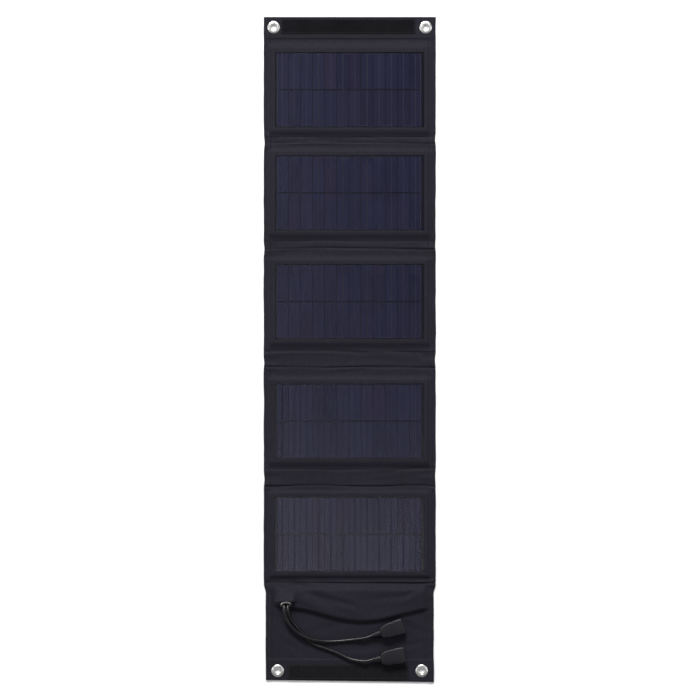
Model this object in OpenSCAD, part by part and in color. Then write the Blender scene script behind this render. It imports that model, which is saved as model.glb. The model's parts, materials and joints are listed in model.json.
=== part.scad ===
// Folding solar charger: five windowed solar laminates sewn into a fabric strip, with a
// regulator flap, two output cables with sockets, end hems with eyelets and closure strips.
// It lies unfolded with its windows up. X runs across the strip, Y along it, Z up.

/* [Strip] */
// Width of the strip
strip_w = 172; // [166:1:190]
// Width of the regulator flap
flap_w = 168; // [164:1:172]
// From the top end to the first window
top_margin = 35.5; // [34:0.5:50]
// From the last window to the flap's fold
flap_gap = 11.5; // [10:0.5:16]
// Length of the flap from its fold to the bottom end
flap_len = 98; // [98:1:120]
// Gap between windows 1 and 2
gap_1 = 28; // [24:0.5:60]
// Gap between windows 2 and 3
gap_2 = 33.5; // [24:0.5:60]
// Gap between windows 3 and 4
gap_3 = 44.5; // [24:0.5:60]
// Gap between windows 4 and 5
gap_4 = 38; // [24:0.5:60]
// Thickness of one fabric layer
fabric_t = 0.6; // [0.5:0.1:0.8]
// Width of the bound side hems
side_hem_w = 7; // [4:0.5:7]

/* [Laminates] */
// Width of a window
window_w = 149; // [140:1:150]
// Height of a window
window_h = 75; // [70:1:80]
// How far a laminate reaches under the window's rim
rim_lap = 3; // [2:0.5:3]
// Thickness of the stiff back sheet
board_t = 2; // [1:0.1:3]
// Thickness of the clear front film
film_t = 0.6; // [0.3:0.1:0.8]
// Cell strips in one row
cells_across = 12; // [4:1:16]
// Rows of cell strips
cell_rows = 2; // [1:1:4]
// Width of a cell strip with its gap
cell_pitch = 12.1; // [6:0.1:12.2]
// Gap between two cell strips
cell_gap = 0.7; // [0.3:0.1:1]

/* [Hems and eyelets] */
// Height of the end hems
hem_h = 22; // [22:1:26]
// Thickness of the end hems
hem_t = 2.4; // [2:0.1:3]
// Distance between the top eyelets
top_eyelet_span = 152; // [146:1:154]
// Distance between the bottom eyelets
bottom_eyelet_span = 144; // [138:1:146]
// From an eyelet's centre to the end of the strip
eyelet_inset = 10.5; // [10:0.5:11]
// Diameter of an eyelet's hole
eyelet_hole = 6; // [5:0.1:6]
// Diameter of an eyelet's flange
eyelet_flange = 12.5; // [12:0.1:13]
// Length of the hook strip
hook_len = 134; // [100:1:134]
// Length of the loop strip
loop_len = 121; // [100:1:126]
// Height of the hook and loop strips
closure_h = 15; // [12:1:16]

/* [Flap] */
// Height of the raised pocket over the regulator
pocket_z = 5.8; // [5.8:0.1:6.2]
// Length of the regulator
regulator_l = 96; // [80:1:98]
// Depth of the regulator
regulator_d = 20; // [16:1:20]

/* [Cables] */
// Diameter of an output cable
cable_d = 3.4; // [3:0.1:3.4]
// Width of a socket's housing
socket_w = 16; // [15:0.1:17]
// Height of a socket's housing
socket_h = 8.5; // [8:0.1:8.5]

/* [Hidden] */
$fn = 48;
PANELS = 5;

// Along the strip: the top end is at +end_y and the bottom end at -end_y
gaps = [gap_1, gap_2, gap_3, gap_4];
function sum_to(list, n) = n <= 0 ? 0 : list[n - 1] + sum_to(list, n - 1);
strip_len = top_margin + PANELS * window_h + sum_to(gaps, 4) + flap_gap + flap_len;
end_y = strip_len / 2;
function window_top(k) = end_y - top_margin - (k - 1) * window_h - sum_to(gaps, k - 1);
function window_mid(k) = window_top(k) - window_h / 2;
function fold_y(k) = window_top(k) - window_h - (k < PANELS ? gaps[k - 1] / 2 : flap_gap);
// Fabric stops this far from a fold line, so that neighbours never meet
fold_cut = 0.15;
function panel_high(k) = k == 1 ? end_y - hem_h : fold_y(k - 1) - fold_cut;
function panel_low(k) = fold_y(k) + fold_cut;
flap_high = fold_y(PANELS) - fold_cut;
flap_low = -end_y + hem_h;

// Layers, from the back up
lead_t = 0.3;
cell_t = 0.2;
ribbon_t = 0.1;
lead_z = fabric_t;
flange_z = lead_z + lead_t;
face_z = flange_z + fabric_t;
cell_z = fabric_t + board_t;
ribbon_z = cell_z + cell_t;
film_top = ribbon_z + ribbon_t + film_t;
rim_top = film_top + fabric_t;

// Laminate outline and the loose fit of the fabric round it
board_w = window_w + 2 * rim_lap;
board_h = window_h + 2 * rim_lap;
board_r = 3;
fit = 0.2;
cell_h = 36;
row_pitch = window_h / cell_rows - 0.1;
cell_shift = -0.8;
ribbon_w = 1;
lead_w = 4;
lead_x = 30;

// Eyelets
barrel_t = 0.6;
roll_w = 1;
washer_t = 0.5;
roll_t = 0.4;
flange_h = 1;
press_gap = 0.1;
closure_t = 1.2;
closure_inset = 2;
closure_x = -1.5;

// Raised pocket of the flap: its lower edge sags between two level ends
pocket_left = -56;
pocket_right = 77;
pocket_gap = 4;
pocket_drop = 27;
pocket_sag = 13;
sag_x = 12;
sag_half_w = 72;
sag_steps = 22;

// Regulator, under the pocket
regulator_x = 2;
regulator_y = fold_y(PANELS) - 6.5 - regulator_d / 2;
case_wall = 0.8;
base_t = 1.8;
lid_t = 2.3;
pcb_t = 1.2;

// Cable outlet: an eyelet in the steep front of a small tent beside the pocket
outlet_x = -63.5;
outlet_y = fold_y(PANELS) - 21;
outlet_z = 6.4;
outlet_tilt = 55;
outlet_hole = 7.2;
outlet_flange = 11.2;
outlet_h = 1;
tent_left = -72;
tent_right = pocket_left + 1;
tent_ridge_z = 11.6;
passage_low = 16;

// Cable routes: from the regulator's side, out through the outlet, down over the flap and
// along to a socket. Each point is [x, distance below the flap's fold, z].
route_1 = [
    [-46, 8.4, 2.7], [-53, 8.4, 2.7], [-59, 9, 2.7], [-63.4, 11.6, 2.8], [-65.2, 15.3, 3.4],
    [-65.3, 18.5, 4.7], [-65.3, 21, 6.4], [-65.3, 23.5, 8.1], [-65.2, 26.4, 9.2],
    [-64.6, 30.5, 9], [-62.4, 36.5, 7.9], [-58.5, 42.5, 7.2], [-52.2, 48.6, 6.9],
    [-44.5, 53.2, 6.9], [-35, 56.5, 6], [-23, 58, 4.3], [-10.5, 57.8, 3.5],
    [2.5, 56.4, 4.1], [14.5, 54.7, 5.7], [22.1, 52.2, 5.75]
];
route_2 = [
    [-46, 12.2, 2.7], [-52, 12.2, 2.7], [-57, 12.9, 2.8], [-60.4, 15.2, 3.3],
    [-61.7, 18.5, 4.7], [-61.7, 21, 6.4], [-61.7, 23.5, 8.1], [-61.6, 26.4, 9.2],
    [-60.8, 30.5, 8.7], [-58.6, 36, 6.6], [-54.6, 42, 4.5], [-49, 48, 3.5],
    [-43.5, 54.5, 3.3], [-35.5, 61, 3.3], [-24, 65.3, 3.3], [-13, 69.3, 3.6],
    [-5, 73.2, 4.2], [3, 76.2, 5.2], [14.4, 77.6, 6.65], [22.3, 76.2, 6.65]
];
cable_sides = 8;

// Sockets: [neck x, distance below the flap's fold, z, turn about z]
socket_places = [[22.1, 52.2, 5.75, 18], [22.3, 76.2, 6.65, 10]];
socket_len = 33;
rib_count = 4;
rib_pitch = 2.2;
neck_d = 5;
shell_w = 13.2;
shell_h = 5.8;
shell_t = 0.4;
shell_len = 16.4;
shell_recess = 0.2;
tongue_w = 11.1;
tongue_t = 1.9;
tongue_len = 9;
tongue_base = 3;
tongue_lift = 0.95;

FABRIC = "#25222b";
BACKING = "#1b1a20";
METAL = "#d2d2d0";
PLASTIC = "#26262a";

// Helpers

// A plate with rounded corners, centred on x and y, standing on z = 0
module rounded_plate(w, h, t, r) {
    translate([-w / 2 + r, -h / 2, 0]) cube([w - 2 * r, h, t]);
    translate([-w / 2, -h / 2 + r, 0]) cube([w, h - 2 * r, t]);
    for (x = [-1, 1], y = [-1, 1])
        translate([x * (w / 2 - r), y * (h / 2 - r), 0]) cylinder(r = r, h = t);
}

// A box centred on x, from y_low to y_high and from z_low to z_high
module slab(w, y_low, y_high, z_low, z_high) {
    translate([-w / 2, y_low, z_low]) cube([w, y_high - y_low, z_high - z_low]);
}

// The two bound side edges of a fabric panel
module side_hems(w, y_low, y_high) {
    for (side = [-1, 1])
        translate([side * (w - side_hem_w) / 2, 0, 0])
            slab(side_hem_w, y_low, y_high, fabric_t, flange_z + 0.01);
}

// Panels

module front_cover(k) {
    tray_w = board_w + 2 * fit + 2 * fabric_t;
    tray_h = board_h + 2 * fit + 2 * fabric_t;
    mid = window_mid(k);
    color(FABRIC) difference() {
        union() {
            slab(strip_w, panel_low(k), panel_high(k), flange_z, face_z);
            side_hems(strip_w, panel_low(k), panel_high(k));
            slab(tray_w, mid - tray_h / 2, mid + tray_h / 2, flange_z, rim_top);
        }
        slab(board_w + 2 * fit, mid - board_h / 2 - fit, mid + board_h / 2 + fit, 0, film_top);
        slab(window_w, mid - window_h / 2, mid + window_h / 2, 0, rim_top + 1);
    }
}

module back_cover(k) {
    color(BACKING) slab(strip_w, panel_low(k), panel_high(k), 0, fabric_t);
}

module backsheet(k) {
    color("#10131f") translate([0, window_mid(k), fabric_t])
        rounded_plate(board_w, board_h, board_t, board_r);
}

// Puts its children at the middle of every cell of panel k
module at_cells(k, z) {
    for (i = [0:cells_across - 1], j = [0:cell_rows - 1])
        translate([cell_shift + (i - (cells_across - 1) / 2) * cell_pitch,
                   window_mid(k) + (j - (cell_rows - 1) / 2) * row_pitch, z])
            children();
}

module cells(k) {
    high = min(cell_h, row_pitch - cell_gap);
    color("#1d2136") at_cells(k, cell_z)
        translate([-(cell_pitch - cell_gap) / 2, -high / 2, 0])
            cube([cell_pitch - cell_gap, high, cell_t]);
}

module ribbons(k) {
    high = min(cell_h, row_pitch - cell_gap);
    color("#8d8f98") at_cells(k, ribbon_z)
        translate([-ribbon_w / 2, -high / 2, 0]) cube([ribbon_w, high, ribbon_t]);
}

module film(k) {
    color("#2a3048", 0.6) translate([0, window_mid(k), cell_z]) difference() {
        rounded_plate(board_w, board_h, film_top - cell_z, board_r);
        translate([0, 0, -1])
            rounded_plate(window_w - 1, window_h, 1 + cell_t + ribbon_t, board_r);
    }
}

module lead_pair(y_low, y_high) {
    color("#8a2b22") for (side = [-1, 1])
        translate([side * lead_x, 0, 0]) slab(lead_w, y_low, y_high, lead_z, flange_z);
}

module leads(k) {
    lead_pair(panel_low(k), window_mid(k) - board_h / 2);
    if (k > 1) lead_pair(window_mid(k) + board_h / 2, panel_high(k));
}

// Hems, eyelets and closure

module at_eyelets(span, y) {
    for (side = [-1, 1]) translate([side * span / 2, y, 0]) children();
}

module hem(w, y_low, span, eyelet_y) {
    recess_t = roll_t + washer_t;
    color(FABRIC) difference() {
        slab(w, y_low, y_low + hem_h, 0, hem_t);
        at_eyelets(span, eyelet_y) {
            translate([0, 0, -1])
                cylinder(d = eyelet_hole + 2 * (barrel_t + press_gap), h = hem_t + 2);
            translate([0, 0, -1]) cylinder(d = eyelet_flange + 2 * press_gap, h = 1 + recess_t);
        }
    }
}

module top_hem() {
    hem(strip_w, end_y - hem_h, top_eyelet_span, end_y - eyelet_inset);
}

module bottom_hem() {
    hem(flap_w, -end_y, bottom_eyelet_span, -end_y + eyelet_inset);
}

// One eyelet: rolled back edge, barrel through the hem, domed front flange
module eyelet() {
    hole_r = eyelet_hole / 2;
    barrel_r = hole_r + barrel_t;
    flange_r = eyelet_flange / 2;
    color(METAL) rotate_extrude() polygon([
        [hole_r, 0], [barrel_r + roll_w, 0], [barrel_r + roll_w, roll_t], [barrel_r, roll_t],
        [barrel_r, hem_t], [flange_r, hem_t], [flange_r, hem_t + flange_h * 0.3],
        [flange_r - 0.7, hem_t + flange_h * 0.8], [flange_r - 1.6, hem_t + flange_h],
        [hole_r, hem_t + flange_h]
    ]);
}

// The washer that an eyelet is rolled over, let into the hem's back
module washer() {
    color("#bdbdbb") translate([0, 0, roll_t]) difference() {
        cylinder(d = eyelet_flange, h = washer_t);
        translate([0, 0, -1])
            cylinder(d = eyelet_hole + 2 * (barrel_t + press_gap), h = washer_t + 2);
    }
}

module top_eyelets() {
    at_eyelets(top_eyelet_span, end_y - eyelet_inset) eyelet();
}

module top_washers() {
    at_eyelets(top_eyelet_span, end_y - eyelet_inset) washer();
}

module bottom_eyelets() {
    at_eyelets(bottom_eyelet_span, -end_y + eyelet_inset) eyelet();
}

module bottom_washers() {
    at_eyelets(bottom_eyelet_span, -end_y + eyelet_inset) washer();
}

module closure(length, y_mid) {
    translate([closure_x, y_mid, hem_t]) rounded_plate(length, closure_h, closure_t, 1);
}

module hook_strip() {
    color("#141317") closure(hook_len, end_y - closure_inset - closure_h / 2);
}

module loop_strip() {
    color("#19181d") closure(loop_len, -end_y + closure_inset + closure_h / 2);
}

// Flap

// How far below the flap's fold the pocket's lower edge lies at x
function pocket_low(x) =
    let (u = min(1, abs((x - sag_x) / sag_half_w)))
    pocket_drop + pocket_sag * pow(1 - u * u, 2);

// Outline of the pocket, drawn in by inset on every side
function pocket_outline(inset) =
    let (left = pocket_left + inset, right = pocket_right - inset, y0 = fold_y(PANELS))
    concat(
        [[right, y0 - pocket_gap - inset], [left, y0 - pocket_gap - inset]],
        [for (i = [0:sag_steps])
            let (x = left + (right - left) * i / sag_steps)
            [x, y0 - pocket_low(x) + inset]]
    );

// Where the tent's steep front stands at height z
function front_y(z) = outlet_y - (outlet_z - z) / tan(outlet_tilt);

// The tent between two x, its walls drawn in by inset, from z up
module tent(left, right, z, inset) {
    rear = fold_y(PANELS) - pocket_gap - inset;
    top = tent_ridge_z - inset * 1.6;
    front = inset / sin(outlet_tilt);
    translate([left, 0, 0]) rotate([90, 0, 90]) linear_extrude(right - left) polygon([
        [rear, z], [rear, pocket_z - inset], [front_y(top) + front, top], [front_y(z) + front, z]
    ]);
}

// Puts its children on the tent's front at the outlet, with +Z square out of it
module at_outlet() {
    translate([outlet_x, outlet_y, outlet_z]) rotate([outlet_tilt, 0, 0]) children();
}

module flap_front() {
    y0 = fold_y(PANELS);
    color(FABRIC) difference() {
        union() {
            slab(flap_w, flap_low, flap_high, flange_z, face_z);
            side_hems(flap_w, flap_low, flap_high);
            translate([0, 0, flange_z])
                linear_extrude(pocket_z - flange_z) polygon(pocket_outline(0));
            tent(tent_left, tent_right, flange_z, 0);
        }
        linear_extrude(pocket_z - fabric_t) polygon(pocket_outline(fabric_t));
        tent(tent_left + fabric_t, tent_right - fabric_t, 0, fabric_t);
        translate([tent_right - 3, y0 - passage_low, 0])
            cube([5, passage_low - pocket_gap - fabric_t, pocket_z - fabric_t]);
        at_outlet() translate([0, 0, -3])
            cylinder(d = outlet_hole + 2 * (barrel_t + press_gap), h = 6);
    }
}

module flap_back() {
    color(BACKING) slab(flap_w, flap_low, flap_high, 0, fabric_t);
}

module flap_leads() {
    lead_pair(regulator_y + regulator_d / 2, flap_high);
}

module cable_eyelet() {
    hole_r = outlet_hole / 2;
    barrel_r = hole_r + barrel_t;
    flange_r = outlet_flange / 2;
    back = -fabric_t - washer_t;
    low = back - roll_t;
    color(METAL) at_outlet() rotate_extrude() polygon([
        [hole_r, low], [barrel_r + roll_w, low], [barrel_r + roll_w, back], [barrel_r, back],
        [barrel_r, 0], [flange_r, 0], [flange_r, outlet_h * 0.3],
        [flange_r - 0.4, outlet_h * 0.8], [flange_r - 0.8, outlet_h], [hole_r, outlet_h]
    ]);
}

module cable_washer() {
    color("#bdbdbb") at_outlet() translate([0, 0, -fabric_t - washer_t]) difference() {
        cylinder(d = outlet_flange, h = washer_t);
        translate([0, 0, -1])
            cylinder(d = outlet_hole + 2 * (barrel_t + press_gap), h = washer_t + 2);
    }
}

// Regulator: a shallow base, a board with its parts, and a lid

module regulator_shell(t, floor_t) {
    difference() {
        rounded_plate(regulator_l, regulator_d, t, 2);
        translate([0, 0, floor_t]) rounded_plate(
            regulator_l - 2 * case_wall, regulator_d - 2 * case_wall, t, 1.2);
    }
}

module regulator_base() {
    color(PLASTIC) translate([regulator_x, regulator_y, fabric_t])
        regulator_shell(base_t, case_wall);
}

module regulator_lid() {
    color("#2c2c30") translate([regulator_x, regulator_y, fabric_t + base_t + lid_t])
        mirror([0, 0, 1]) regulator_shell(lid_t, case_wall);
}

module regulator_board() {
    // Each part on the board: [x, y, length, width, height]
    parts = [[-36, 0, 7, 7, 1.2], [-22, 3, 5, 4, 0.9], [-22, -3, 5, 4, 0.9], [-8, 0, 8, 6, 1.1],
             [8, 2, 4, 3, 0.9], [20, 0, 7, 7, 1.2], [34, -2, 6, 4, 1]];
    length = regulator_l - 2 * case_wall - 1;
    depth = regulator_d - 2 * case_wall - 1;
    color("#1f5a35") translate([regulator_x, regulator_y, fabric_t + case_wall]) {
        translate([-length / 2, -depth / 2, 0]) cube([length, depth, pcb_t]);
        for (p = parts)
            translate([p[0] - p[2] / 2, p[1] - p[3] / 2, 0]) cube([p[2], p[3], pcb_t + p[4]]);
    }
}

// Cables

function unit(v) = v / norm(v);

// A tube swept along points, with a ring at each point square to the route there
module tube(points, d, sides) {
    last = len(points) - 1;
    reference = [1, 1, 1];
    rings = [
        for (i = [0:last])
            let (along = unit(points[min(i + 1, last)] - points[max(i - 1, 0)]),
                 side = unit(cross(along, reference)),
                 up = cross(side, along))
            [for (j = [0:sides - 1])
                let (a = 360 * (j + 0.5) / sides)
                points[i] + d / 2 * (cos(a) * side + sin(a) * up)]
    ];
    faces = concat(
        [[for (j = [0:sides - 1]) j]],
        [for (i = [0:last - 1], j = [0:sides - 1])
            let (next = (j + 1) % sides)
            [i * sides + j, (i + 1) * sides + j, (i + 1) * sides + next, i * sides + next]],
        [[for (j = [sides - 1:-1:0]) last * sides + j]]
    );
    polyhedron([for (ring = rings, p = ring) p], faces, convexity = 6);
}

function laid(route) = [for (p = route) [p[0], fold_y(PANELS) - p[1], p[2]]];

module cable_1() {
    color(PLASTIC) tube(laid(route_1), cable_d, cable_sides);
}

module cable_2() {
    color(PLASTIC) tube(laid(route_2), cable_d, cable_sides);
}

// Sockets, drawn along +X from the neck to the mouth

module at_socket(n) {
    p = socket_places[n - 1];
    translate([p[0], fold_y(PANELS) - p[1], p[2]]) rotate([0, 0, p[3]]) children();
}

// Points of a rounded rectangle in the plane at x
function ring_points(x, w, h, r, steps) = [
    for (q = [0:3], s = [0:steps])
        let (a = 90 * q + 90 * s / steps,
             cy = (q == 0 || q == 3 ? 1 : -1) * (w / 2 - r),
             cz = (q < 2 ? 1 : -1) * (h / 2 - r))
        [x, cy + r * cos(a), cz + r * sin(a)]
];

// A closed body through a list of [x, width, height, corner radius]
module loft(sections, steps) {
    n = 4 * (steps + 1);
    last = len(sections) - 1;
    points = [for (s = sections, p = ring_points(s[0], s[1], s[2], s[3], steps)) p];
    faces = concat(
        [[for (j = [0:n - 1]) j]],
        [for (i = [0:last - 1], j = [0:n - 1])
            let (next = (j + 1) % n)
            [i * n + j, (i + 1) * n + j, (i + 1) * n + next, i * n + next]],
        [[for (j = [n - 1:-1:0]) last * n + j]]
    );
    polyhedron(points, faces, convexity = 4);
}

// Strain relief with ribs, then a body that widens to the mouth
function neck_sections() = [
    for (i = [0:rib_count - 1], s = [[0, 0], [1.2, 0], [1.4, -0.9], [2, -0.9]])
        let (w = neck_d + 0.7 * i + s[1])
        [i * rib_pitch + s[0], w, w * (1 - 0.03 * i), w / 2 * 0.9 * (1 - 0.03 * i)]
];

module socket_housing(n) {
    body_x = rib_count * rib_pitch;
    color(PLASTIC) at_socket(n) difference() {
        loft(concat(neck_sections(), [
            [body_x, socket_w * 0.66, socket_h * 0.8, 2.4],
            [body_x + 1, socket_w * 0.73, socket_h * 0.9, 2.4],
            [body_x + 4, socket_w * 0.84, socket_h * 0.98, 2.2],
            [body_x + 9, socket_w * 0.96, socket_h, 2],
            [socket_len - 0.6, socket_w, socket_h, 1.8],
            [socket_len, socket_w - 1, socket_h - 1, 1.4]
        ]), 4);
        translate([socket_len - shell_recess - shell_len, -shell_w / 2, -shell_h / 2])
            cube([shell_len + 1, shell_w, shell_h]);
    }
}

module socket_shell(n) {
    color(METAL) at_socket(n)
        translate([socket_len - shell_recess - shell_len, -shell_w / 2, -shell_h / 2])
            difference() {
                cube([shell_len, shell_w, shell_h]);
                translate([shell_t, shell_t, shell_t])
                    cube([shell_len, shell_w - 2 * shell_t, shell_h - 2 * shell_t]);
            }
}

module socket_tongue(n) {
    inner_w = shell_w - 2 * shell_t;
    inner_h = shell_h - 2 * shell_t;
    color("#e4e4e2") at_socket(n)
        translate([socket_len - shell_recess - shell_len + shell_t, 0, 0]) {
            translate([0, -inner_w / 2, -inner_h / 2]) cube([tongue_base, inner_w, inner_h]);
            translate([0, -tongue_w / 2, tongue_lift - tongue_t / 2])
                cube([tongue_base + tongue_len, tongue_w, tongue_t]);
        }
}

for (k = [1:PANELS]) {
    front_cover(k);
    back_cover(k);
    backsheet(k);
    cells(k);
    ribbons(k);
    film(k);
    leads(k);
}
top_hem();
hook_strip();
top_eyelets();
top_washers();
flap_front();
flap_back();
flap_leads();
bottom_hem();
loop_strip();
bottom_eyelets();
bottom_washers();
cable_eyelet();
cable_washer();
regulator_base();
regulator_board();
regulator_lid();
cable_1();
cable_2();
for (n = [1:2]) {
    socket_housing(n);
    socket_shell(n);
    socket_tongue(n);
}
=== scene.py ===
import json
import math
import random

import bpy
from mathutils import Matrix, Vector, noise


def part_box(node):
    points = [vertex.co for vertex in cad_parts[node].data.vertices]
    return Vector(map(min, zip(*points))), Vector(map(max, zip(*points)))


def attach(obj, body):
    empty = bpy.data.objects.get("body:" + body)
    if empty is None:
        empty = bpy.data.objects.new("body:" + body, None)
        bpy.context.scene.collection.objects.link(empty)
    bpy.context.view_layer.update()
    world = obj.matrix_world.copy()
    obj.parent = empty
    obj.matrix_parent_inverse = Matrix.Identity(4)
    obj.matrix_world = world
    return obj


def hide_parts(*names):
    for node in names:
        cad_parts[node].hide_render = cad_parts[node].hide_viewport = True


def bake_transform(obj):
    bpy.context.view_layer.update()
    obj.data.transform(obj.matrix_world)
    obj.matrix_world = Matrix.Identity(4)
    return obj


# Folding solar charger, lying open with its windows up. Metres, with +Y along the strip from
# the cable flap to the plain end, +X across it and +Z up.
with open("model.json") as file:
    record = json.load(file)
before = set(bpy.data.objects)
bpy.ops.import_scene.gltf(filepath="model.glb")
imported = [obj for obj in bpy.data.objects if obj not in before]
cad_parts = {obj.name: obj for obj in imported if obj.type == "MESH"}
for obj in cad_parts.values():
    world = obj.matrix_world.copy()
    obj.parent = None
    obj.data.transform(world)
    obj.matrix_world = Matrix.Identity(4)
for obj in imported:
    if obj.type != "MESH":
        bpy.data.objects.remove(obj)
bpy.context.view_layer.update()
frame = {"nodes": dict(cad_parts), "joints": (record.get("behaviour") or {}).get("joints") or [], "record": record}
MM = 0.001

# --- Layout, from the frame ---------------------------------------------------------------

BODIES = ["panel_1", "panel_2", "panel_3", "panel_4", "panel_5", "flap"]
PANELS = 5
joints = {j["name"]: j for j in frame["joints"]}
FOLD_NAMES = ["fold_1", "fold_2", "fold_3", "fold_4", "flap_fold"]
FOLDS = [joints[name]["pos_m"][1] for name in FOLD_NAMES]
FLAP_Y = FOLDS[-1]

# Laminates: the boards under the windows, and how far the cover's rim laps onto them
BOARDS = [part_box(f"film_{k + 1}") for k in range(PANELS)]
MIDS = [(low.y + high.y) / 2 for low, high in BOARDS]
BOARD_X = BOARDS[0][1].x
RIM_LAP = 3 * MM
WINDOW_X = BOARD_X - RIM_LAP

# Cloth: heights of its face over a laminate's rim, where it lies flat, and on the back
RIM_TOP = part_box("front_cover_1")[1].z
FACE = 1.5 * MM
BACK_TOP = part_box("back_cover_1")[1].z
STRIP_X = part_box("back_cover_1")[1].x
FLAP_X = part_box("flap_back")[1].x

# End hems: each one's inner edge and which way along Y its end lies
END_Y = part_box("top_hem")[1].y
TOP_HEM_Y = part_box("top_hem")[0].y
LOW_HEM_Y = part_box("bottom_hem")[1].y
HEMS = [(TOP_HEM_Y, 1), (LOW_HEM_Y, -1)]
HEM_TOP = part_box("top_hem")[1].z
HOLES = [m for m in frame["record"]["mounts"] if m["kind"] == "bore"]

# Cable outlet: an eyelet on the steep front of a small tent in the flap's cloth
OUTLET = Vector((-63.5 * MM, FLAP_Y - 21 * MM, 6.4 * MM))
OUTLET_TILT = math.radians(55)
OUTLET_HOLE = 3.6 * MM
OUTLET_RIM = 5.6 * MM
RIDGE_Z = 11.2 * MM
POCKET_Z = 5.8 * MM


def smooth(t):
    t = min(max(t, 0.0), 1.0)
    return t * t * (3 - 2 * t)


def bell(d, width):
    return math.exp(-(d / width) ** 2)


def ripple(x, y, fx, fy, seed=0.0):
    """Smooth noise from -1 to 1, fx and fy waves a metre across and along."""
    return noise.noise(Vector((x * fx, y * fy, seed)))


# --- Camera, floor and light --------------------------------------------------------------

VIEW_HEIGHT = 0.7
CAMERA_Z = 3.0


def make_camera():
    data = bpy.data.cameras.new("camera")
    data.sensor_width = 36
    data.lens = data.sensor_width * CAMERA_Z / VIEW_HEIGHT
    data.clip_start, data.clip_end = 0.05, 50
    camera = bpy.data.objects.new("camera", data)
    camera.location = (0.3 * MM, -1 * MM, CAMERA_Z)
    bpy.context.scene.collection.objects.link(camera)
    bpy.context.scene.camera = camera


def area_light(name, place, size, power):
    """A rectangular soft light aimed at the middle of the strip."""
    data = bpy.data.lights.new(name, "AREA")
    data.shape, data.size, data.size_y = "RECTANGLE", size[0], size[1]
    data.energy = power
    lamp = bpy.data.objects.new(name, data)
    lamp.location = place
    lamp.rotation_euler = (Vector((0, 0, 0)) - Vector(place)).to_track_quat("-Z", "Y").to_euler()
    bpy.context.scene.collection.objects.link(lamp)


# Soft cards in the sky near the zenith, for the reflections in the clear film: strength, then
# the range of the direction's x and y that each covers
SKY = 0.23
CARDS = [(0.94, (-0.18, 0.18), (-0.125, -0.045)), (0.52, (-0.080, -0.016), (-0.14, 0.16))]
CARD_EDGE = 0.014
FLOOR_HALF = 6


def make_sky():
    world = bpy.data.worlds.new("studio")
    world.use_nodes = True
    tree = world.node_tree
    background = tree.nodes["Background"]
    background.inputs["Color"].default_value = (1, 1, 1, 1)
    direction = tree.nodes.new("ShaderNodeTexCoord").outputs["Generated"]
    axes = tree.nodes.new("ShaderNodeSeparateXYZ")
    tree.links.new(direction, axes.inputs[0])

    def combine(operation, a, b):
        node = tree.nodes.new("ShaderNodeMath")
        node.operation = operation
        for socket, value in zip(node.inputs, (a, b)):
            if isinstance(value, bpy.types.NodeSocket):
                tree.links.new(value, socket)
            else:
                socket.default_value = value
        return node.outputs[0]

    def step(value, start, end):
        node = tree.nodes.new("ShaderNodeMapRange")
        node.interpolation_type = "SMOOTHSTEP"
        tree.links.new(value, node.inputs["Value"])
        node.inputs["From Min"].default_value = start
        node.inputs["From Max"].default_value = end
        return node.outputs[0]

    above = combine("GREATER_THAN", axes.outputs[2], 0.0)
    strength = SKY
    half = CARD_EDGE / 2
    for power, *ranges in CARDS:
        card = combine("MULTIPLY", above, power)
        for axis, (low, high) in zip(axes.outputs, ranges):
            card = combine("MULTIPLY", card, step(axis, low - half, low + half))
            card = combine("MULTIPLY", card, step(axis, high + half, high - half))
        strength = combine("ADD", card, strength)
    tree.links.new(strength, background.inputs["Strength"])
    bpy.context.scene.world = world


def make_light():
    make_sky()
    area_light("key", (-0.38, 2.48, 2.25), (1.5, 0.85), 154)
    area_light("fill_left", (-2.2, 0.1, 1.9), (0.8, 1.6), 17)
    area_light("fill_right", (2.2, 0, 2.1), (0.8, 1.6), 14)
    bpy.context.scene.view_settings.view_transform = "Standard"


def make_floor(material):
    mesh = bpy.data.meshes.new("floor")
    corners = [(sx * FLOOR_HALF, sy * FLOOR_HALF, 0)
               for sx, sy in ((-1, -1), (1, -1), (1, 1), (-1, 1))]
    mesh.from_pydata(corners, [], [(0, 1, 2, 3)])
    floor = bpy.data.objects.new("floor", mesh)
    floor.data.materials.append(material)
    bpy.context.scene.collection.objects.link(floor)


# --- Materials ----------------------------------------------------------------------------

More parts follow.
